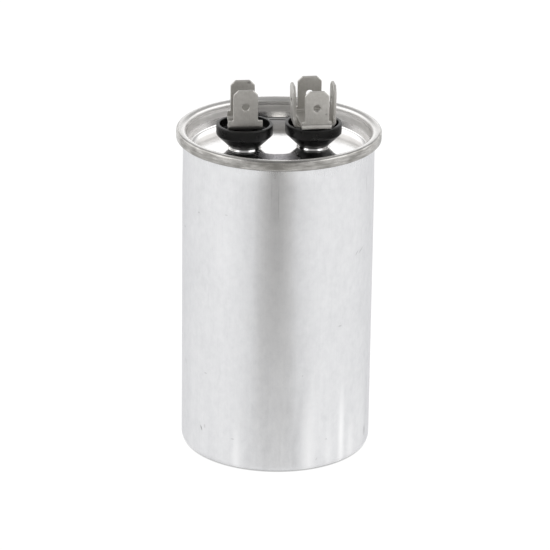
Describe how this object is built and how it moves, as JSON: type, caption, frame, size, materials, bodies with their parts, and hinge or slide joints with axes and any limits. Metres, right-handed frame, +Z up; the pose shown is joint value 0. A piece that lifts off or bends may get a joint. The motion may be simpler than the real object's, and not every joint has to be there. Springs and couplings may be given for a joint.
{
  "type": "motor-run film capacitor",
  "caption": "Round motor-run film capacitor: drawn aluminium can with a rolled-on tinplate lid and riveted push-on blade terminals on black insulating cups.",
  "frame": {"origin": "centre of the can's flat bottom", "axes": "+Z up along the can's axis, towards the terminals; the two terminals lie along X, the two-blade one at -X"},
  "size_m": [0.0534, 0.0534, 0.0984],
  "materials": {
    "can_aluminium": "drawn, satin",
    "lid_tinplate": "bright tinplate, fine grain",
    "tinned_terminal": "satin tin plating",
    "black_insulator": "satin moulded",
    "sealing_compound": "matte",
    "gasket_rubber": "matte",
    "inner_plastic": "moulded",
    "lead_copper": "bare wire",
    "film_roll": "metallised film",
    "contact_metal": "sprayed, grainy",
    "sleeve_paper": "matte"
  },
  "bodies": {
    "root": {"can": "can_aluminium", "lid": "lid_tinplate", "seam_seal": "sealing_compound", "insulator_left": "black_insulator", "insulator_right": "black_insulator", "terminal_double": "tinned_terminal", "terminal_lower": "tinned_terminal", "terminal_upper": "tinned_terminal", "rivet_left": "tinned_terminal", "rivet_right": "tinned_terminal", "gasket_left": "gasket_rubber", "gasket_right": "gasket_rubber", "inner_washer_left": "inner_plastic", "inner_washer_right": "inner_plastic", "interrupter_plate": "inner_plastic", "lead_short": "lead_copper", "lead_long": "lead_copper", "winding": "film_roll", "winding_core": "inner_plastic", "end_spray_top": "contact_metal", "end_spray_bottom": "contact_metal", "winding_sleeve": "sleeve_paper", "bottom_cup": "inner_plastic"}
  },
  "joints": []
}
